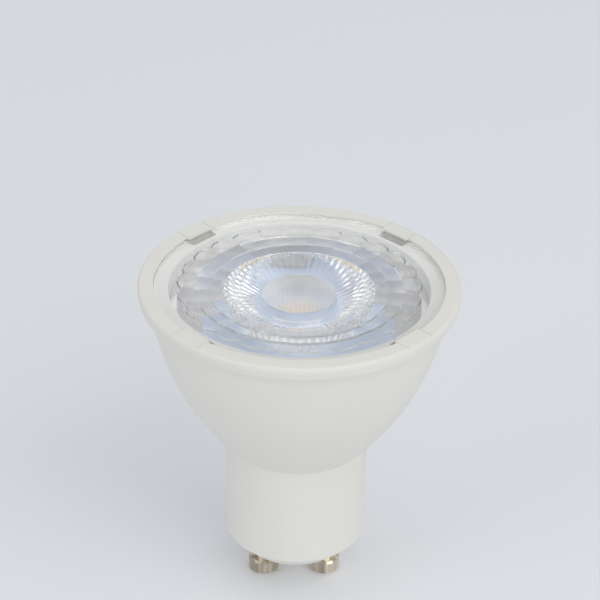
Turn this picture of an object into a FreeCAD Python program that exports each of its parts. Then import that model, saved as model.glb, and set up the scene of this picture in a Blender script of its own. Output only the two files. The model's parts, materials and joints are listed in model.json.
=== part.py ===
"""GU10 LED spotlight lamp, 50 mm across the rim, with a faceted clear lens.

Millimetres. The origin is the middle of the base's flat end face, +Z points to the lens and the
two contact pins stand side by side along X, below the origin.
"""
import FreeCAD, Part
import math
import os

from FreeCAD import Vector

# Outer form of the housing
rim_diameter = 50.0
lamp_height = 48.0            # base end face to rim top
rim_height = 2.1              # band of the rim, above the bell
rim_land = 0.9                # upright part of the band, below the rim top
rim_draft = 0.3               # how much the band narrows from there towards the bell
rim_edge_round = 0.5
rim_underside = 0.8           # height of the slope from the band in to the bell
bell_inset = 1.7              # the bell's top lies this far inside the rim
bell_bulge = 2.1              # how far the bell's arc stands out from its chord
base_diameter = 22.76         # where the base meets the bell
base_height = 19.9
base_draft = 0.1              # the base's radius is this much less at its bevel
base_bevel = 2.5
corner_round = 0.4            # soft corner between the base and the bell

# Walls of the housing
bell_wall = 1.4
base_wall = 1.5
floor_thickness = 2.2

# Lens and its seat in the rim
rim_face_width = 2.45         # the rim's flat top, out to the rim's edge
lens_recess = 0.4             # the lens front lies this far below the rim top
flange_thickness = 1.1
seat_clearance = 0.05         # round the lens's edge
ledge_width = 2.25
seat_rib_width = 0.25         # low rib at the ledge's outer edge, which carries the lens
seat_rib_height = 0.12
seat_film = 0.02              # between the rib and the lens

# Snap hooks over the lens's edge, with a moulding window under each
hook_count = 4
hook_width = 5.1
hook_reach = 0.65
hook_clearance = 0.02         # between a hook and the lens front
hook_first_angle = 45.0
window_radial = 1.7
window_depth = 3.0
seam_width = 0.1              # fine seams across the rim at both ends of a hook
seam_depth = 0.12

# Faceted rings on the back of the lens, from the outermost inwards
facet_count = 25
first_facet_angle = 88.5
clear_band_width = 1.2        # plain lens between the ledge and the outermost facets
outer_ring_width = 2.9
middle_ring_width = 2.3
inner_ring_width = 2.1
facet_curve = 30.0            # radius of the ball that shapes a facet
outer_facet_low = 1.6         # depth of a facet's lowest point below the lens front
middle_facet_low = 2.1
inner_facet_low = 2.6
scallop_radius = 4.0          # rounded outer end of an outermost facet, seen from below
scallop_draft = 0.3           # how far that end leans inwards over the facet's height

# Fluted collimator in the middle of the lens
collimator_step = 0.25        # upright step between the facets and its cone
collimator_foot_radius = 7.0
collimator_bulge = 0.7        # its side is an arc this far outside the straight cone
flute_count = 64
flute_depth = 0.07
cavity_mouth_radius = 6.1
cavity_top_radius = 5.8
cavity_ceiling = 4.4          # depth of its edge below the lens front
ceiling_crown = 0.12          # the ceiling bulges down by this much
lens_height = 9.2             # lens front to the foot of the collimator
foot_clearance = 0.15         # between that foot and the LED board

# LED board, with the light-giving field in its middle
led_board_radius = 15.0
led_board_thickness = 1.2
dam_outer_radius = 4.6
dam_inner_radius = 3.8
dam_height = 0.6
phosphor_height = 0.45

# Pressed heat sink dish under the board
cup_thickness = 1.1
cup_clearance = 0.1
cup_top_gap = 2.6             # below the lens ledge
cup_draft = 0.6               # radius lost from the ledge to the dish's floor
cup_bend = 1.0                # outside, at the edge of its floor
cup_inner_bend = 0.3
shoulder_width = 1.6          # step in the housing that carries the dish

# Socket on the LED board and the two leads that rise into it
socket_x = -1.1
socket_y = 12.0
socket_width = 5.0
socket_depth = 3.2
socket_height = 2.1
socket_chamfer = 0.3
lead_diameter = 0.7
lead_pitch = 2.5
lead_bend = 1.6
lead_engagement = 1.2         # how far a lead stands in the socket
lead_clearance = 0.2          # round a lead in its hole
slot_margin = 1.0             # dish slot, round the two leads
lead_drop = 1.6               # the leads leave the driver board this far below its top

# Contact pins
pin_spacing = 10.0
pin_length = 7.0
pin_head_radius = 2.5
pin_head_height = 2.5
pin_neck_radius = 1.5
neck_sink = 0.6               # the neck's shoulder sits this deep in the base
pin_shank_radius = 1.2
pin_hole_clearance = 0.05
pin_edge = 0.35
pin_bore_radius = 0.6
pin_bore_stop = 3.0           # solid tip below the bore
rivet_radius = 1.7
rivet_height = 0.5
boss_radius = 2.7
boss_height = 1.2

# Driver board, upright in guide ribs of the base
driver_width = 17.0
driver_head_room = 4.0        # between the board's top and the dish
driver_thickness = 1.0
driver_y = 2.0
driver_bottom = 6.0
rib_thickness = 1.2
rib_depth = 1.6               # how far a rib reaches over the board's edge
rib_top = 17.5
guide_clearance = 0.15

# Parts on the driver board: x of their middles, their places as shares of its height, and their sizes
part_gap = 0.05               # between a part and the board
input_cap_x = 0.0
input_cap_share = 0.27
input_cap_diameter = 6.3
input_cap_length = 9.0
output_cap_x = 4.6
output_cap_share = 0.755
output_cap_diameter = 6.3
output_cap_length = 8.0
cap_groove = 0.25
inductor_x = -3.8
inductor_share = 0.755
inductor_diameter = 8.0
inductor_length = 8.5
inductor_flange = 1.2
inductor_core_diameter = 3.4
winding_gap = 0.15
bridge_x = 0.0
bridge_share = 0.27
bridge_width = 4.7
bridge_length = 3.9
bridge_height = 1.5
chip_x = 0.0
chip_share = 0.58
chip_width = 4.9
chip_length = 3.9
chip_height = 1.5
chip_legs = 4                 # on each side
chip_leg_pitch = 1.27
bridge_legs = 2
bridge_leg_pitch = 2.5
leg_width = 0.42
leg_thickness = 0.2
leg_reach = 1.0
diode_x = 4.6
diode_share = 0.79
diode_width = 4.3
diode_length = 2.6
diode_height = 2.1
diode_tab = 0.5
resistor_x = -4.6
resistor_share = 0.54
resistor_width = 3.2
resistor_length = 1.6
resistor_height = 0.6
resistor_pitch = 2.6
resistor_end = 0.45

# Fusible resistor in the lead of the left pin, plain lead on the right pin
fuse_body_diameter = 2.2
fuse_body_length = 6.2
fuse_cap_diameter = 2.4
fuse_cap_length = 1.1
fuse_body_bottom = 7.0
fuse_bend_height = 15.6
neutral_bend_height = 11.0
supply_lead_diameter = 0.8
supply_lead_bend = 0.9

cut_margin = 1.0              # how far a cutting tool reaches past the faces it opens

# Worked out from the sizes above
rim_radius = rim_diameter / 2
base_radius = base_diameter / 2
bell_top_radius = rim_radius - bell_inset
seat_radius = rim_radius - rim_face_width
lens_radius = seat_radius - seat_clearance
ledge_inner_radius = seat_radius - ledge_width
seat_rib_radius = seat_radius - seat_rib_width
ring_outer_radius = ledge_inner_radius - clear_band_width
ring_middle_radius = ring_outer_radius - outer_ring_width
ring_inner_radius = ring_middle_radius - middle_ring_width
collimator_radius = ring_inner_radius - inner_ring_width
lens_front = lamp_height - lens_recess
ledge_z = lens_front - flange_thickness - seat_film
foot_z = lens_front - lens_height
board_z = foot_z - foot_clearance
collimator_start = inner_facet_low + collimator_step
rim_low = lamp_height - rim_height
bell_top = rim_low - rim_underside
base_low_radius = base_radius - base_draft
seat_face_radius = base_low_radius - base_bevel
cup_floor_top = board_z - led_board_thickness
cup_floor_bottom = cup_floor_top - cup_thickness
cup_seat_radius = ledge_inner_radius - cup_draft
shoulder_radius = cup_seat_radius - shoulder_width
base_inner_radius = base_radius - base_wall
driver_front = driver_y - driver_thickness / 2
driver_back = driver_y + driver_thickness / 2
driver_top = cup_floor_bottom - driver_head_room
driver_height = driver_top - driver_bottom
lead_xs = (socket_x - lead_pitch / 2, socket_x + lead_pitch / 2)
lead_start_z = driver_top - lead_drop
up = Vector(0, 0, 1)
sideways = Vector(0, 1, 0)
origin = Vector(0, 0, 0)


def arc_middle(start, end, bulge):
    """Middle point of the arc from start to end (r, z) that stands out by bulge, away from the axis."""
    chord_r = end[0] - start[0]
    chord_z = end[1] - start[1]
    chord = math.hypot(chord_r, chord_z)
    side = 1 if chord_z > 0 else -1
    return ((start[0] + end[0]) / 2 + side * bulge * chord_z / chord,
            (start[1] + end[1]) / 2 - side * bulge * chord_r / chord)


def arc_centre(start, end, bulge):
    """Centre (r, z) and radius of that arc."""
    middle = arc_middle(start, end, bulge)
    chord = math.hypot(end[0] - start[0], end[1] - start[1])
    radius = chord * chord / (8 * bulge) + bulge / 2
    mean_r = (start[0] + end[0]) / 2
    mean_z = (start[1] + end[1]) / 2
    reach = radius / bulge
    return (middle[0] - (middle[0] - mean_r) * reach,
            middle[1] - (middle[1] - mean_z) * reach), radius


def section_edges(points, arcs=None):
    """Edges of a closed half section; arcs maps the index of a run's first point to its middle point."""
    arcs = arcs or {}
    corners = [Vector(r, 0, z) for r, z in points]
    edges = []
    for index, corner in enumerate(corners):
        following = corners[(index + 1) % len(corners)]
        if index in arcs:
            r, z = arcs[index]
            edges.append(Part.Arc(corner, Vector(r, 0, z), following).toShape())
        else:
            edges.append(Part.LineSegment(corner, following).toShape())
    return edges


def turned(points, arcs=None):
    """Solid turned about Z from a closed half section given as (r, z) points."""
    face = Part.Face(Part.Wire(section_edges(points, arcs)))
    return face.revolve(origin, up, 360)


def box(x0, x1, y0, y1, z0, z1):
    """Box between two corners."""
    return Part.makeBox(x1 - x0, y1 - y0, z1 - z0, Vector(x0, y0, z0))


def turned_copy(shape, angle):
    """Copy of shape turned about Z by angle degrees."""
    copy = shape.copy()
    copy.rotate(origin, up, angle)
    return copy


def circle_edges(shape, radius, height):
    """Round edges of shape about Z with that radius, at that height."""
    near = 1e-4
    found = []
    for edge in shape.Edges:
        if not isinstance(edge.Curve, Part.Circle):
            continue
        centre = edge.Curve.Center
        on_axis = math.hypot(centre.x, centre.y) < near
        if on_axis and abs(centre.z - height) < near and abs(edge.Curve.Radius - radius) < near:
            found.append(edge)
    return found


def bent_wire(points, diameter, bend):
    """Round wire along straight runs joined by arcs of radius bend."""
    edges = []
    start = Vector(*points[0])
    for index in range(1, len(points) - 1):
        corner = Vector(*points[index])
        back = (Vector(*points[index - 1]) - corner).normalize()
        ahead = (Vector(*points[index + 1]) - corner).normalize()
        half_turn = (math.pi - back.getAngle(ahead)) / 2
        trim = bend * math.tan(half_turn)
        inward = (back + ahead).normalize()
        middle = corner + inward * (bend / math.cos(half_turn) - bend)
        arc_start = corner + back * trim
        arc_end = corner + ahead * trim
        edges.append(Part.LineSegment(start, arc_start).toShape())
        edges.append(Part.Arc(arc_start, middle, arc_end).toShape())
        start = arc_end
    edges.append(Part.LineSegment(start, Vector(*points[-1])).toShape())
    path = Part.Wire(edges)
    first = Vector(*points[0])
    heading = Vector(*points[1]) - first
    profile = Part.Wire(Part.makeCircle(diameter / 2, first, heading))
    return path.makePipeShell([profile], True, True)


# The bell's outer arc, and its inner arc one wall further in
bell_start = (base_radius, base_height)
bell_end = (bell_top_radius, bell_top)
bell_centre, bell_radius = arc_centre(bell_start, bell_end, bell_bulge)


def bell_inner_height(radius):
    """Height at which the bell's inner arc has that radius."""
    inner = bell_radius - bell_wall
    return bell_centre[1] - math.sqrt(inner ** 2 - (radius - bell_centre[0]) ** 2)


def make_housing():
    """Bell, base and rim as one moulding, with hooks, windows, guide ribs and pin bosses."""
    rim_low_radius = rim_radius - rim_draft
    neck_z = bell_inner_height(base_inner_radius)
    shoulder_low = bell_inner_height(shoulder_radius)
    middle_radius = (base_inner_radius + shoulder_radius) / 2
    inner_middle = (middle_radius, bell_inner_height(middle_radius))
    floor_radius = seat_face_radius - floor_thickness * (math.sqrt(2) - 1)
    outline = [
        (0, 0), (seat_face_radius, 0), (base_low_radius, base_bevel), bell_start, bell_end,
        (rim_low_radius, rim_low), (rim_radius, lamp_height - rim_land), (rim_radius, lamp_height),
        (seat_radius, lamp_height), (seat_radius, ledge_z), (seat_rib_radius, ledge_z),
        (seat_rib_radius, ledge_z - seat_rib_height), (ledge_inner_radius, ledge_z - seat_rib_height),
        (cup_seat_radius, cup_floor_bottom), (shoulder_radius, cup_floor_bottom),
        (shoulder_radius, shoulder_low), (base_inner_radius, neck_z),
        (base_inner_radius, floor_thickness + base_inner_radius - floor_radius),
        (floor_radius, floor_thickness), (0, floor_thickness),
    ]
    bell_run = outline.index(bell_start)
    inner_run = outline.index((shoulder_radius, shoulder_low))
    shell = turned(outline, {bell_run: arc_middle(bell_start, bell_end, bell_bulge),
                             inner_run: inner_middle})
    shell = shell.makeFillet(rim_edge_round, circle_edges(shell, rim_radius, lamp_height))
    shell = shell.makeFillet(corner_round, circle_edges(shell, base_radius, base_height))
    shell = shell.fuse(guide_ribs())
    for side in (-1, 1):
        place = Vector(side * pin_spacing / 2, 0, 0)
        boss = Part.makeCylinder(boss_radius, floor_thickness + boss_height, place)
        shell = shell.fuse(boss.common(inside_base()))
    for side in (-1, 1):
        shell = shell.cut(pin_hole(side * pin_spacing / 2))
    for index in range(hook_count):
        shell = add_hook(shell, hook_first_angle + index * 360 / hook_count)
    return shell.removeSplitter()


def pin_hole(x):
    """Stepped hole through the floor and its boss, for the neck and the shank of a pin."""
    neck = pin_neck_radius + pin_hole_clearance
    shank = pin_shank_radius + pin_hole_clearance
    top = floor_thickness + boss_height + cut_margin
    hole = turned([(0, -cut_margin), (neck, -cut_margin), (neck, neck_sink), (shank, neck_sink),
                   (shank, top), (0, top)])
    hole.translate(Vector(x, 0, 0))
    return hole


def inside_base():
    """The base's bulk up to the middle of its walls, which keeps ribs and bosses within them."""
    low = floor_thickness / 2
    side = base_low_radius - base_wall / 2
    return turned([(0, low), (seat_face_radius, low), (side, low + side - seat_face_radius),
                   (side, base_height), (0, base_height)])


def guide_ribs():
    """Two blocks on the base's inner sides, each with a slot that holds an edge of the driver board."""
    half_slot = driver_thickness / 2 + guide_clearance
    half_block = half_slot + rib_thickness
    edge_x = driver_width / 2
    blocks = []
    for side in (-1, 1):
        near, far = sorted((side * (edge_x - rib_depth), side * base_radius))
        block = box(near, far, driver_y - half_block, driver_y + half_block,
                    floor_thickness / 2, rib_top)
        slot_near, slot_far = sorted((0, side * (edge_x + guide_clearance)))
        slot = box(slot_near, slot_far, driver_y - half_slot, driver_y + half_slot,
                   driver_bottom, lamp_height)
        blocks.append(block.cut(slot).common(inside_base()))
    return blocks


def add_hook(shell, angle):
    """Snap hook over the lens's edge, the window under it and the fine seams at its ends."""
    half = hook_width / 2
    hook = box(seat_radius - hook_reach, seat_radius + seat_clearance, -half, half,
               lens_front + hook_clearance, lamp_height)
    window = box(seat_radius - window_radial, seat_radius, -half, half,
                 ledge_z - window_depth, ledge_z + flange_thickness)
    shell = shell.cut(turned_copy(window, angle)).fuse(turned_copy(hook, angle))
    for side in (-1, 1):
        seam = box(seat_radius - hook_reach, rim_radius + cut_margin, side * half - seam_width / 2,
                   side * half + seam_width / 2, lamp_height - seam_depth, lamp_height + cut_margin)
        shell = shell.cut(turned_copy(seam, angle))
    return shell


def facet(near_radius, far_radius, low):
    """One pillow facet: a wedge of the ring cut to a ball whose lowest point lies low under the front."""
    centre = (near_radius + far_radius) / 2
    spread = math.tan(math.pi / facet_count)
    corners = [Vector(near_radius, -near_radius * spread, 0), Vector(far_radius, -far_radius * spread, 0),
               Vector(far_radius, far_radius * spread, 0), Vector(near_radius, near_radius * spread, 0)]
    wedge = flat_face(corners).extrude(Vector(0, 0, -lens_height))
    wedge.translate(Vector(0, 0, -flange_thickness / 2))
    ball = Part.makeSphere(facet_curve, Vector(centre, 0, facet_curve - low), sideways)
    return wedge.common(ball)


def outer_facet():
    """Facet of the outermost ring, its outer end rounded and leaning inwards."""
    top = flange_thickness / 2
    lean = scallop_draft / (outer_facet_low - flange_thickness)
    top_radius = scallop_radius + lean * (flange_thickness - top)
    low_radius = scallop_radius - scallop_draft
    end = Part.makeCone(low_radius, top_radius, outer_facet_low - top,
                        Vector(ring_outer_radius - scallop_radius, 0, -outer_facet_low))
    return facet(ring_middle_radius, ledge_inner_radius, outer_facet_low).common(end)


def flute_ring(radius, depth):
    """Corners of the flutes' zigzag at one depth under the lens front."""
    points = []
    for index in range(2 * flute_count):
        angle = math.pi * index / flute_count
        reach = radius if index % 2 == 0 else radius * (1 - flute_depth / collimator_foot_radius)
        points.append(Vector(reach * math.cos(angle), reach * math.sin(angle), -depth))
    return points


def flat_face(corners):
    """Flat face with those corners."""
    return Part.Face(Part.makePolygon(corners + corners[:1]))


def collimator():
    """Fluted cone under the middle of the lens, its side an arc in section."""
    start = (collimator_radius, -collimator_start)
    end = (collimator_foot_radius, -lens_height)
    waist_radius, waist_z = arc_middle(start, end, collimator_bulge)
    top = flute_ring(collimator_radius, flange_thickness / 2)
    shoulder = flute_ring(collimator_radius, collimator_start)
    waist = flute_ring(waist_radius, -waist_z)
    foot = flute_ring(collimator_foot_radius, lens_height)
    ridges = [Part.Arc(*points).toShape() for points in zip(shoulder, waist, foot)]
    faces = [flat_face(top), flat_face(foot)]
    for index, ridge in enumerate(ridges):
        faces.append(flat_face([top[index - 1], top[index], shoulder[index], shoulder[index - 1]]))
        faces.append(Part.makeRuledSurface(ridges[index - 1], ridge))
    shell = Part.makeShell(faces)
    shell.sewShape()
    return Part.makeSolid(shell)


def make_lens():
    """Clear lens: flat front with a flange, three rings of pillow facets and the fluted collimator."""
    plate = Part.makeCylinder(lens_radius, flange_thickness, Vector(0, 0, -flange_thickness))
    row = [outer_facet(), facet(ring_inner_radius, ring_middle_radius, middle_facet_low),
           facet(collimator_radius - inner_ring_width, ring_inner_radius, inner_facet_low)]
    facets = []
    for index in range(facet_count):
        angle = first_facet_angle + index * 360 / facet_count
        facets.extend(turned_copy(piece, angle) for piece in row)
    lens = plate.fuse(facets + [collimator()])
    lens = lens.cut(cavity()).removeSplitter()
    lens.translate(Vector(0, 0, lens_front))
    return lens


def cavity():
    """Space over the LED, a tapered bore whose ceiling is the underside of a ball."""
    below = -lens_height - cut_margin
    bore = turned([(0, below), (cavity_mouth_radius, below), (cavity_mouth_radius, -lens_height),
                   (cavity_top_radius, -cavity_ceiling), (0, -cavity_ceiling)])
    curve = (cavity_top_radius ** 2 + ceiling_crown ** 2) / (2 * ceiling_crown)
    return bore.cut(Part.makeSphere(curve, Vector(0, 0, curve - cavity_ceiling - ceiling_crown), sideways))


def make_heat_sink_cup():
    """Pressed dish with a flat floor, drawn sides and a slot for the two leads."""
    top = ledge_z - cup_top_gap
    slope = cup_draft / (ledge_z - cup_floor_bottom)
    low_radius = cup_seat_radius - cup_clearance
    top_radius = low_radius + slope * (top - cup_floor_bottom)
    inner_low = low_radius - cup_thickness + slope * cup_thickness
    dish = turned([(0, cup_floor_bottom), (low_radius, cup_floor_bottom), (top_radius, top),
                   (top_radius - cup_thickness, top), (inner_low, cup_floor_top), (0, cup_floor_top)])
    dish = dish.makeFillet(cup_bend, circle_edges(dish, low_radius, cup_floor_bottom))
    dish = dish.makeFillet(cup_inner_bend, circle_edges(dish, inner_low, cup_floor_top))
    half_x = (lead_pitch + lead_diameter) / 2 + slot_margin
    half_y = lead_diameter / 2 + slot_margin
    slot = box(socket_x - half_x, socket_x + half_x, socket_y - half_y, socket_y + half_y,
               cup_floor_bottom - cut_margin, cup_floor_top + cut_margin)
    return dish.cut(slot)


def lead_holes(bottom, top):
    """Two upright holes for the leads, between two heights."""
    radius = lead_diameter / 2 + lead_clearance
    return [Part.makeCylinder(radius, top - bottom, Vector(x, socket_y, bottom)) for x in lead_xs]


def make_led_board():
    """Round board with two holes for the leads."""
    board = Part.makeCylinder(led_board_radius, led_board_thickness, Vector(0, 0, cup_floor_top))
    return board.cut(lead_holes(cup_floor_top - cut_margin, board_z + cut_margin))


def make_led_dam():
    """Low ring of silicone round the light-giving field."""
    crown = board_z + dam_height
    middle = (dam_inner_radius + dam_outer_radius) / 2
    edge = board_z + dam_height / 2
    points = [(dam_inner_radius, board_z), (dam_outer_radius, board_z), (dam_outer_radius, edge),
              (dam_inner_radius, edge)]
    return turned(points, {2: (middle, crown)})


def make_led_phosphor():
    """Yellow field inside the dam."""
    return Part.makeCylinder(dam_inner_radius, phosphor_height, Vector(0, 0, board_z))


def make_led_socket():
    """Two-pole socket with blind holes for the leads on its underside."""
    body = box(socket_x - socket_width / 2, socket_x + socket_width / 2, socket_y - socket_depth / 2,
               socket_y + socket_depth / 2, board_z, board_z + socket_height)
    top_edges = [edge for edge in body.Edges if edge.BoundBox.ZMin > board_z + socket_height / 2]
    body = body.makeChamfer(socket_chamfer, top_edges)
    return body.cut(lead_holes(board_z - cut_margin, board_z + lead_engagement + lead_clearance))


def make_led_lead(x):
    """Stiff lead from the driver board, bent up into the socket."""
    return bent_wire([(x, driver_front, lead_start_z), (x, socket_y, lead_start_z),
                      (x, socket_y, board_z + lead_engagement)], lead_diameter, lead_bend)


def make_contact_pin(side):
    """Turned pin with a headed end, a shank through the base and a riveted inner end."""
    x = side * pin_spacing / 2
    head_top = pin_head_height - pin_length
    boss_top = floor_thickness + boss_height
    rivet_top = boss_top + rivet_height
    bore_bottom = pin_bore_stop - pin_length
    pin = turned([
        (0, -pin_length), (pin_head_radius - pin_edge, -pin_length),
        (pin_head_radius, pin_edge - pin_length), (pin_head_radius, head_top - pin_edge),
        (pin_head_radius - pin_edge, head_top), (pin_neck_radius, head_top),
        (pin_neck_radius, neck_sink), (pin_shank_radius, neck_sink), (pin_shank_radius, boss_top),
        (rivet_radius, boss_top), (rivet_radius, rivet_top), (pin_bore_radius, rivet_top),
        (pin_bore_radius, bore_bottom), (0, bore_bottom),
    ])
    pin.translate(Vector(x, 0, 0))
    return pin


def make_driver_board():
    """Upright board with holes for the leads that are soldered through it."""
    half = driver_width / 2
    board = box(-half, half, driver_front, driver_back, driver_bottom, driver_top)
    holes = [(x, lead_start_z, lead_diameter) for x in lead_xs]
    holes.append((-pin_spacing / 2, fuse_bend_height, supply_lead_diameter))
    holes.append((pin_spacing / 2, neutral_bend_height, supply_lead_diameter))
    for x, z, diameter in holes:
        start = Vector(x, driver_front - driver_thickness / 2, z)
        hole = Part.makeCylinder(diameter / 2 + lead_clearance, 2 * driver_thickness, start, sideways)
        board = board.cut(hole)
    return board


def board_height(share):
    """Height at that share of the driver board's own height."""
    return driver_bottom + share * driver_height


def on_front(points, x, share):
    """Turned part that stands out from the board's front face; z in points is its height off the board."""
    body = turned(points)
    body.rotate(origin, Vector(1, 0, 0), 90)
    body.translate(Vector(x, driver_front - part_gap, board_height(share)))
    return body


def make_capacitor(x, share, diameter, length):
    """Can with a rolled groove near its board end."""
    radius = diameter / 2
    edge = 2 * cap_groove
    points = [(0, 0), (radius, 0), (radius, edge), (radius - cap_groove, 2 * edge), (radius, 3 * edge),
              (radius, length - edge), (radius - edge, length), (0, length)]
    return on_front(points, x, share)


def make_inductor_core():
    """Ferrite drum: two flanges on a core."""
    flange = inductor_diameter / 2
    core = inductor_core_diameter / 2
    upper = inductor_length - inductor_flange
    points = [(0, 0), (flange, 0), (flange, inductor_flange), (core, inductor_flange), (core, upper),
              (flange, upper), (flange, inductor_length), (0, inductor_length)]
    return on_front(points, inductor_x, inductor_share)


def make_inductor_winding():
    """Copper winding between the drum's flanges, rounded at its outer corners."""
    inner = inductor_core_diameter / 2 + winding_gap
    outer = inductor_diameter / 2 - 2 * winding_gap
    low = inductor_flange + winding_gap
    high = inductor_length - inductor_flange - winding_gap
    points = [(inner, low), (outer - winding_gap, low), (outer, low + winding_gap),
              (outer, high - winding_gap), (outer - winding_gap, high), (inner, high)]
    return on_front(points, inductor_x, inductor_share)


def on_back(x, z, width, length, height, gap=part_gap):
    """Box on the board's back face, centred on x and z."""
    return box(x - width / 2, x + width / 2, driver_back + gap, driver_back + gap + height,
               z - length / 2, z + length / 2)


def leg(x, z, side, body_length):
    """Bent leg of a chip package: foot on the board, riser and a shoulder in the body."""
    shoulder_z = z + side * body_length / 2
    foot = driver_back + part_gap
    shoulder = foot + chip_height / 2
    profile = [Vector(0, foot, shoulder_z + side * leg_reach),
               Vector(0, foot, shoulder_z + side * leg_reach / 2),
               Vector(0, shoulder, shoulder_z + side * leg_reach / 4),
               Vector(0, shoulder, shoulder_z - side * leg_reach / 4),
               Vector(0, shoulder + leg_thickness, shoulder_z - side * leg_reach / 4),
               Vector(0, shoulder + leg_thickness, shoulder_z + side * leg_reach / 2),
               Vector(0, foot + leg_thickness, shoulder_z + side * 3 * leg_reach / 4),
               Vector(0, foot + leg_thickness, shoulder_z + side * leg_reach)]
    bent = flat_face(profile).extrude(Vector(leg_width, 0, 0))
    bent.translate(Vector(x - leg_width / 2, 0, 0))
    return bent


def make_chip(x, share, width, length, height, legs, pitch):
    """Moulded package with rows of bent legs above and below."""
    z = board_height(share)
    body = on_back(x, z, width, length, height - leg_thickness, part_gap + leg_thickness)
    rows = []
    for index in range(legs):
        leg_x = x + (index - (legs - 1) / 2) * pitch
        for side in (-1, 1):
            rows.append(leg(leg_x, z, side, length))
    return body.fuse(rows).removeSplitter()


def make_freewheel_diode():
    """Moulded diode with a tab at each end."""
    z = board_height(diode_share)
    body = on_back(diode_x, z, diode_width, diode_length, diode_height)
    tabs = on_back(diode_x, z, diode_width + 2 * diode_tab, diode_length / 2, diode_height / 4)
    return body.fuse(tabs).removeSplitter()


def make_sense_resistors():
    """Two chip resistors, one above the other, with raised ends."""
    chips = []
    for index in (0, 1):
        z = board_height(resistor_share) + index * resistor_pitch
        chip = on_back(resistor_x, z, resistor_width, resistor_length, resistor_height)
        middle = on_back(resistor_x, z, resistor_width - 2 * resistor_end, 2 * resistor_length,
                         resistor_height, resistor_height + part_gap / 2)
        chips.append(chip.cut(middle))
    return Part.makeCompound(chips)


def supply_lead_points(side, bend_height):
    """Route from the bore of a pin up to the driver board."""
    x = side * pin_spacing / 2
    start = pin_bore_stop - pin_length + rivet_height
    return [(x, 0, start), (x, 0, bend_height), (x, driver_back, bend_height)]


def make_fusible_resistor():
    """Axial resistor whose lower lead is crimped in the left pin and whose upper lead meets the board."""
    lead = bent_wire(supply_lead_points(-1, fuse_bend_height), supply_lead_diameter, supply_lead_bend)
    body_radius = fuse_body_diameter / 2
    cap_radius = fuse_cap_diameter / 2
    top = fuse_body_bottom + fuse_body_length
    low_cap = fuse_body_bottom + fuse_cap_length
    high_cap = top - fuse_cap_length
    body = turned([(0, fuse_body_bottom), (cap_radius, fuse_body_bottom), (cap_radius, low_cap),
                   (body_radius, low_cap), (body_radius, high_cap), (cap_radius, high_cap),
                   (cap_radius, top), (0, top)])
    body.translate(Vector(-pin_spacing / 2, 0, 0))
    return body.fuse(lead).removeSplitter()


def make_neutral_lead():
    """Plain lead from the right pin to the driver board."""
    return bent_wire(supply_lead_points(1, neutral_bend_height), supply_lead_diameter, supply_lead_bend)


def build():
    """Every piece of the lamp by its name."""
    return {
        "housing": make_housing(),
        "lens": make_lens(),
        "heat_sink_cup": make_heat_sink_cup(),
        "led_board": make_led_board(),
        "led_dam": make_led_dam(),
        "led_phosphor": make_led_phosphor(),
        "led_socket": make_led_socket(),
        "led_lead_positive": make_led_lead(lead_xs[0]),
        "led_lead_negative": make_led_lead(lead_xs[1]),
        "contact_pin_left": make_contact_pin(-1),
        "contact_pin_right": make_contact_pin(1),
        "driver_board": make_driver_board(),
        "input_capacitor": make_capacitor(input_cap_x, input_cap_share, input_cap_diameter,
                                          input_cap_length),
        "output_capacitor": make_capacitor(output_cap_x, output_cap_share, output_cap_diameter,
                                           output_cap_length),
        "inductor_core": make_inductor_core(),
        "inductor_winding": make_inductor_winding(),
        "bridge_rectifier": make_chip(bridge_x, bridge_share, bridge_width, bridge_length, bridge_height,
                                      bridge_legs, bridge_leg_pitch),
        "driver_ic": make_chip(chip_x, chip_share, chip_width, chip_length, chip_height, chip_legs,
                               chip_leg_pitch),
        "freewheel_diode": make_freewheel_diode(),
        "sense_resistors": make_sense_resistors(),
        "fusible_resistor": make_fusible_resistor(),
        "neutral_lead": make_neutral_lead(),
    }


os.makedirs("parts", exist_ok=True)
for name, shape in build().items():
    shape.exportStep(os.path.join("parts", name + ".step"))
    print(name, len(shape.Solids), round(shape.Volume, 2), shape.isValid())
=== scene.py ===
"""Looks of the GU10 LED spotlight lamp: materials, light and camera.

Metres and degrees. The lamp stands on the tips of its contact pins, its lens up, and the camera looks
down on it.
"""
import json
import math

import bpy
from mathutils import Matrix, Vector


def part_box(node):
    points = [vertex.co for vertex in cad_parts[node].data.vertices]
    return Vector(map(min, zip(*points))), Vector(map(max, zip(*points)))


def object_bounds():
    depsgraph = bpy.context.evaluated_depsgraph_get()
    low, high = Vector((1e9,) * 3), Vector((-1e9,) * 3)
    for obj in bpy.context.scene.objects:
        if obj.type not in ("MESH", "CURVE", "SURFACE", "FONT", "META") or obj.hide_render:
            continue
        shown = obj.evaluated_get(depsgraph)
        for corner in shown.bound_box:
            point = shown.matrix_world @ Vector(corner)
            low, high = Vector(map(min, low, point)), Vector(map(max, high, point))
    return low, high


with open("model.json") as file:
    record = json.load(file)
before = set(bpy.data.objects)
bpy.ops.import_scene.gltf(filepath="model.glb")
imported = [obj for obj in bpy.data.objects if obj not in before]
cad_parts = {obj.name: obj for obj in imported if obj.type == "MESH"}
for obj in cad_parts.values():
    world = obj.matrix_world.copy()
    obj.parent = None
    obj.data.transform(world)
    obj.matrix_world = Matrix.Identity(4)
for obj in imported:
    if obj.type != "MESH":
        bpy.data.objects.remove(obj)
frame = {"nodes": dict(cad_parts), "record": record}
cad_low, cad_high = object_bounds()
mm = 0.001

# Where the lamp's main faces are, from the frame
lens_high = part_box("lens")[1]
rim_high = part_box("housing")[1]
lens_radius = lens_high.x
lens_front = lens_high.z
rim_top = rim_high.z
floor_height = cad_low.z

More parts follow.
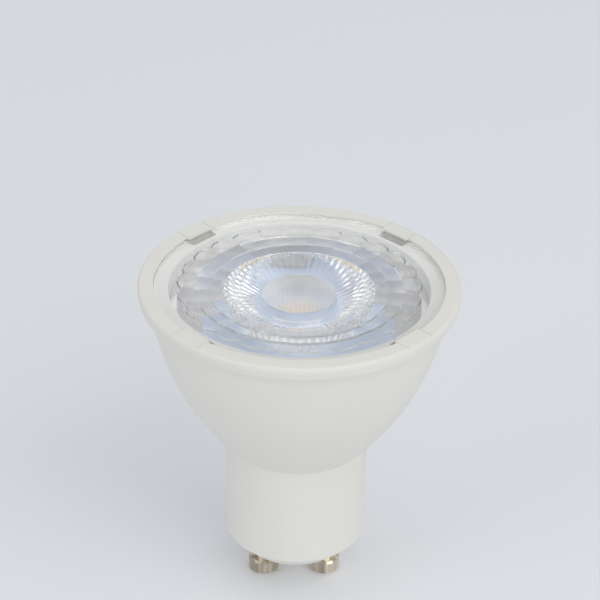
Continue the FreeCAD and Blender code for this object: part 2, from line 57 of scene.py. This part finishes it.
# Camera, fitted to the photograph's ellipses and pins; its sensor is in millimetres, as in Blender
camera_distance = 330 * mm
camera_azimuth = -1.9
camera_elevation = 30.75
camera_roll = 1.2
aim_below_rim = 3.27 * mm
aim_sideways = 0.11 * mm
clip_near = 0.01
clip_far = 20.0
sensor_width = 36.0
picture_width = 600
focal_pixels = 2131

# Solid finishes by material slot: the two shades of the colour, the two ends of the roughness, and the
# grain's fineness per metre and depth. Metals say so, and so does a finish with unusual patches.
usual_patches = 90.0
usual_detail = 3.0
patch_edges = (0.3, 0.7)
grain_strength = 0.35
finishes = {
    "white_plastic": dict(dark=(0.78, 0.765, 0.718), light=(0.805, 0.79, 0.743), rough=(0.42, 0.5),
                          grain=5000.0, depth=0.02 * mm),
    "aluminium": dict(dark=(0.83, 0.82, 0.815), light=(0.87, 0.86, 0.855), rough=(0.18, 0.26),
                      grain=2500.0, depth=0.02 * mm, metallic=1.0),
    "board_white": dict(dark=(0.60, 0.69, 0.84), light=(0.65, 0.735, 0.88), rough=(0.35, 0.45),
                        grain=3000.0, depth=0.01 * mm),
    "silicone_white": dict(dark=(0.75, 0.75, 0.72), light=(0.82, 0.82, 0.80), rough=(0.4, 0.5),
                           grain=3000.0, depth=0.01 * mm),
    "phosphor": dict(dark=(0.88, 0.66, 0.42), light=(0.92, 0.72, 0.48), rough=(0.5, 0.65),
                     grain=4000.0, depth=0.02 * mm, patches=900.0),
    "dark_plastic": dict(dark=(0.035, 0.03, 0.026), light=(0.06, 0.052, 0.045), rough=(0.4, 0.55),
                         grain=4000.0, depth=0.02 * mm),
    "socket_nylon": dict(dark=(0.50, 0.49, 0.47), light=(0.56, 0.55, 0.53), rough=(0.4, 0.5),
                         grain=4000.0, depth=0.02 * mm),
    "tinned_copper": dict(dark=(0.55, 0.54, 0.52), light=(0.68, 0.67, 0.65), rough=(0.25, 0.4),
                          grain=3000.0, depth=0.01 * mm, metallic=1.0),
    "board_green": dict(dark=(0.012, 0.075, 0.03), light=(0.02, 0.10, 0.042), rough=(0.35, 0.45),
                        grain=3000.0, depth=0.01 * mm),
    "capacitor_sleeve": dict(dark=(0.012, 0.014, 0.022), light=(0.02, 0.022, 0.034), rough=(0.2, 0.3),
                             grain=2500.0, depth=0.01 * mm),
    "ferrite": dict(dark=(0.02, 0.02, 0.022), light=(0.035, 0.035, 0.038), rough=(0.55, 0.7),
                    grain=5000.0, depth=0.03 * mm),
    "copper": dict(dark=(0.48, 0.16, 0.06), light=(0.58, 0.22, 0.09), rough=(0.25, 0.4),
                   grain=3000.0, depth=0.02 * mm, metallic=1.0),
    "resistor_coat": dict(dark=(0.13, 0.24, 0.33), light=(0.16, 0.28, 0.38), rough=(0.3, 0.4),
                          grain=3000.0, depth=0.01 * mm),
}

# Lens: a polished front, a satin back, a matt edge and a matt ceiling over the LED
lens_index = 1.585
lens_dark = (0.96, 0.967, 0.977)
lens_light = (0.975, 0.98, 0.987)
lens_patches = 60.0
front_skin = 0.2 * mm
edge_skin = 0.03 * mm
back_rough = 0.08
edge_rough = 0.25
ceiling_rough = 0.28

# Field of tiny lenses on that ceiling
field_radius = 5.75 * mm
ceiling_depth = 2.0 * mm
lenslet_pitch = 0.67 * mm
lenslet_height = 0.05 * mm

# Nickel of the pins: lighter and darker streaks running along the pins' length, and fine rings from the
# lathe
nickel_dark = (0.41, 0.35, 0.275)
nickel_light = (0.85, 0.78, 0.65)
nickel_rough = (0.14, 0.22)
nickel_detail = 2.0
streak_fineness = 900.0
streak_stretch = 0.04
streak_edges = (0.35, 0.65)
ring_fineness = 3000.0
ring_waviness = 1.5
ring_strength = 0.1
ring_depth = 0.01 * mm

# Floor
floor_size = 6.0
floor_dark = (0.82, 0.838, 0.874)
floor_light = (0.84, 0.858, 0.894)
floor_patches = 3.0
floor_rough = 0.9
floor_gloss = 0.1

# Surroundings: pale, brighter towards the zenith, with a soft round glow behind the lamp
world_colour = (0.97, 0.985, 1.0, 1)
world_strength = 0.595
zenith_gain = 0.15
zenith_start = 0.6
glow_strength = 1.35
glow_elevation = 20.0
glow_core = 10.0
glow_edge = 12.5

# Soft boxes: their place, side, watts and colour, and where they point
key_light = dict(location=(0.55, -0.75, 0.75), side=1.2, power=5.4, colour=(1.0, 0.985, 0.96))
fill_light = dict(location=(-0.8, -0.5, 0.5), side=0.6, power=1.2, colour=(0.96, 0.98, 1.0))
light_aim = Vector((0, 0, 30 * mm))


def new_material(name):
    """Material with nodes; gives the material, its node tree and its shader."""
    material = bpy.data.materials.new(name)
    material.use_nodes = True
    tree = material.node_tree
    return material, tree, tree.nodes["Principled BSDF"]


def add_node(tree, kind, **settings):
    """New node of that kind; a setting is one of the node's properties or the name of a socket."""
    node = tree.nodes.new(kind)
    for key, value in settings.items():
        if hasattr(node, key):
            setattr(node, key, value)
        else:
            node.inputs[key].default_value = value
    return node


def place(tree):
    """Object coordinates, in metres in the lamp's own frame."""
    return add_node(tree, "ShaderNodeTexCoord").outputs["Object"]


def noise(tree, where, scale, detail=usual_detail):
    """Noise over that place."""
    node = add_node(tree, "ShaderNodeTexNoise", Scale=scale, Detail=detail)
    tree.links.new(where, node.inputs["Vector"])
    return node.outputs["Fac"]


def ramp(tree, source, low, high, edges=(0.0, 1.0)):
    """Colour that runs from low to high as source runs between the edges."""
    node = add_node(tree, "ShaderNodeValToRGB")
    for element, position, colour in zip(node.color_ramp.elements, edges, (low, high)):
        element.position = position
        element.color = (*colour, 1)
    tree.links.new(source, node.inputs["Fac"])
    return node.outputs["Color"]


def span(tree, source, ends, edges=(0.0, 1.0), shape="LINEAR"):
    """Value that runs from the first end to the second as source runs between the edges."""
    node = add_node(tree, "ShaderNodeMapRange", interpolation_type=shape)
    for socket, value in zip(("From Min", "From Max", "To Min", "To Max"), (*edges, *ends)):
        node.inputs[socket].default_value = value
    tree.links.new(source, node.inputs["Value"])
    return node.outputs["Result"]


def compute(tree, operation, first, second):
    """Result of a math node; each side is another node's output or a plain number."""
    node = add_node(tree, "ShaderNodeMath", operation=operation)
    for socket, side in zip(node.inputs, (first, second)):
        if isinstance(side, bpy.types.NodeSocket):
            tree.links.new(side, socket)
        else:
            socket.default_value = side
    return node.outputs["Value"]


def bump(tree, shader, height, strength, distance):
    """Bump of the shader's normal."""
    node = add_node(tree, "ShaderNodeBump", Strength=strength, Distance=distance)
    tree.links.new(height, node.inputs["Height"])
    tree.links.new(node.outputs["Normal"], shader.inputs["Normal"])


def grained(name, dark, light, rough, grain, depth, metallic=0.0, patches=usual_patches):
    """Solid material: colour in soft patches, a fine grain in its gloss and its surface."""
    material, tree, shader = new_material(name)
    shade = ramp(tree, noise(tree, place(tree), patches), dark, light, patch_edges)
    tree.links.new(shade, shader.inputs["Base Color"])
    fine = noise(tree, place(tree), grain)
    tree.links.new(span(tree, fine, rough), shader.inputs["Roughness"])
    bump(tree, shader, fine, grain_strength, depth)
    shader.inputs["Metallic"].default_value = metallic
    return material


def lens_faces(tree, where):
    """Masks of the lens's back, its edge and the ceiling over the LED, by height and radius."""
    parts = add_node(tree, "ShaderNodeSeparateXYZ")
    tree.links.new(where, parts.inputs["Vector"])
    height = parts.outputs["Z"]
    flat = add_node(tree, "ShaderNodeVectorMath", operation="MULTIPLY")
    flat.inputs[1].default_value = (1, 1, 0)
    tree.links.new(where, flat.inputs[0])
    length = add_node(tree, "ShaderNodeVectorMath", operation="LENGTH")
    tree.links.new(flat.outputs["Vector"], length.inputs[0])
    radius = length.outputs["Value"]
    on_back = compute(tree, "LESS_THAN", height, lens_front - front_skin)
    on_edge = compute(tree, "GREATER_THAN", radius, lens_radius - edge_skin)
    over_led = compute(tree, "LESS_THAN", radius, field_radius)
    in_hollow = compute(tree, "LESS_THAN", height, lens_front - ceiling_depth)
    on_ceiling = compute(tree, "MULTIPLY", over_led, in_hollow)
    return on_back, on_edge, on_ceiling


def clear_plastic():
    """Clear polycarbonate with tiny lenses on the ceiling over the LED."""
    material, tree, shader = new_material("clear_plastic")
    shader.inputs["Transmission Weight"].default_value = 1.0
    shader.inputs["IOR"].default_value = lens_index
    where = place(tree)
    tint = ramp(tree, noise(tree, where, lens_patches), lens_dark, lens_light)
    tree.links.new(tint, shader.inputs["Base Color"])
    on_back, on_edge, on_ceiling = lens_faces(tree, where)
    dots = add_node(tree, "ShaderNodeTexVoronoi", voronoi_dimensions="2D", Scale=1 / lenslet_pitch,
                    Randomness=0.0)
    tree.links.new(where, dots.inputs["Vector"])
    lift = add_node(tree, "ShaderNodeBump", invert=True, Distance=lenslet_height)
    tree.links.new(on_ceiling, lift.inputs["Strength"])
    tree.links.new(dots.outputs["Distance"], lift.inputs["Height"])
    tree.links.new(lift.outputs["Normal"], shader.inputs["Normal"])
    satin = compute(tree, "MULTIPLY", on_back, back_rough)
    for face, rough in ((on_edge, edge_rough), (on_ceiling, ceiling_rough)):
        satin = compute(tree, "MAXIMUM", satin, compute(tree, "MULTIPLY", face, rough))
    tree.links.new(satin, shader.inputs["Roughness"])
    return material


def nickel_plate():
    """Nickel-plated metal of the contact pins, streaked and turned."""
    material, tree, shader = new_material("nickel_plate")
    stretch = add_node(tree, "ShaderNodeMapping", Scale=(1, 1, streak_stretch))
    tree.links.new(place(tree), stretch.inputs["Vector"])
    streaks = noise(tree, stretch.outputs["Vector"], streak_fineness, nickel_detail)
    shade = ramp(tree, streaks, nickel_dark, nickel_light, streak_edges)
    tree.links.new(shade, shader.inputs["Base Color"])
    rings = add_node(tree, "ShaderNodeTexWave", bands_direction="Z", Scale=ring_fineness,
                     Distortion=ring_waviness, Detail=nickel_detail)
    tree.links.new(place(tree), rings.inputs["Vector"])
    tree.links.new(span(tree, rings.outputs["Fac"], nickel_rough), shader.inputs["Roughness"])
    bump(tree, shader, rings.outputs["Fac"], ring_strength, ring_depth)
    shader.inputs["Metallic"].default_value = 1.0
    return material


def dress():
    """Materials of every node of the lamp, by the record's slots."""
    by_slot = {slot: grained(slot, **finish) for slot, finish in finishes.items()}
    by_slot["clear_plastic"] = clear_plastic()
    by_slot["nickel_plate"] = nickel_plate()
    slots = {row["node"]: row["material_slot"] for row in frame["record"]["subparts"]}
    for node, thing in frame["nodes"].items():
        thing.data.materials.clear()
        thing.data.materials.append(by_slot[slots[node]])


def make_floor():
    """Pale floor under the pins."""
    bpy.ops.mesh.primitive_plane_add(size=floor_size, location=(0, 0, floor_height))
    floor = bpy.context.object
    floor.name = "floor"
    material, tree, shader = new_material("floor")
    shade = ramp(tree, noise(tree, place(tree), floor_patches), floor_dark, floor_light)
    tree.links.new(shade, shader.inputs["Base Color"])
    shader.inputs["Roughness"].default_value = floor_rough
    shader.inputs["Specular IOR Level"].default_value = floor_gloss
    floor.data.materials.append(material)


def make_world():
    """Pale surroundings with a soft glow behind the lamp, which the lens's front mirrors."""
    world = bpy.data.worlds.new("studio")
    bpy.context.scene.world = world
    world.use_nodes = True
    tree = world.node_tree
    background = tree.nodes["Background"]
    background.inputs["Color"].default_value = world_colour
    heading = add_node(tree, "ShaderNodeTexCoord").outputs["Generated"]
    elevation = math.radians(glow_elevation)
    nearness = add_node(tree, "ShaderNodeVectorMath", operation="DOT_PRODUCT")
    nearness.inputs[1].default_value = (0, math.cos(elevation), math.sin(elevation))
    tree.links.new(heading, nearness.inputs[0])
    fade = (math.cos(math.radians(glow_edge)), math.cos(math.radians(glow_core)))
    glow = span(tree, nearness.outputs["Value"], (world_strength, glow_strength), fade, "SMOOTHSTEP")
    parts = add_node(tree, "ShaderNodeSeparateXYZ")
    tree.links.new(heading, parts.inputs["Vector"])
    zenith = span(tree, parts.outputs["Z"], (0.0, zenith_gain), (zenith_start, 1.0), "SMOOTHSTEP")
    tree.links.new(compute(tree, "ADD", zenith, glow), background.inputs["Strength"])


def soft_box(name, location, side, power, colour):
    """Large square soft light aimed at the lamp."""
    data = bpy.data.lights.new(name, "AREA")
    data.shape = "SQUARE"
    data.size = side
    data.energy = power
    data.color = colour
    light = bpy.data.objects.new(name, data)
    bpy.context.collection.objects.link(light)
    light.location = location
    light.rotation_euler = (light_aim - Vector(location)).to_track_quat("-Z", "Y").to_euler()


def make_lights():
    """A broad key from the right and a weaker fill from the left."""
    soft_box("key", **key_light)
    soft_box("fill", **fill_light)


def make_camera():
    """Camera at the photograph's angle."""
    data = bpy.data.cameras.new("camera")
    data.sensor_width = sensor_width
    data.lens = focal_pixels / picture_width * sensor_width
    data.clip_start = clip_near
    data.clip_end = clip_far
    camera = bpy.data.objects.new("camera", data)
    bpy.context.collection.objects.link(camera)
    azimuth = math.radians(camera_azimuth)
    elevation = math.radians(camera_elevation)
    back = Vector((math.sin(azimuth) * math.cos(elevation), -math.cos(azimuth) * math.cos(elevation),
                   math.sin(elevation)))
    across = Vector((math.cos(azimuth), math.sin(azimuth), 0))
    aim = Vector((0, 0, rim_top - aim_below_rim)) + across * aim_sideways
    roll = Matrix.Rotation(math.radians(camera_roll), 3, "Z")
    turn = (-back).to_track_quat("-Z", "Y").to_matrix() @ roll
    camera.matrix_world = Matrix.Translation(aim + back * camera_distance) @ turn.to_4x4()
    bpy.context.scene.camera = camera


def set_light_paths():
    """Long, unblurred light paths, so that light finds its way through the lens to the LED and back."""
    cycles = bpy.context.scene.cycles
    cycles.max_bounces = 32
    cycles.glossy_bounces = 24
    cycles.transmission_bounces = 24
    cycles.diffuse_bounces = 6
    cycles.blur_glossy = 0.0


dress()
make_floor()
make_world()
make_lights()
make_camera()
set_light_paths()
bpy.context.scene.view_settings.view_transform = "Standard"
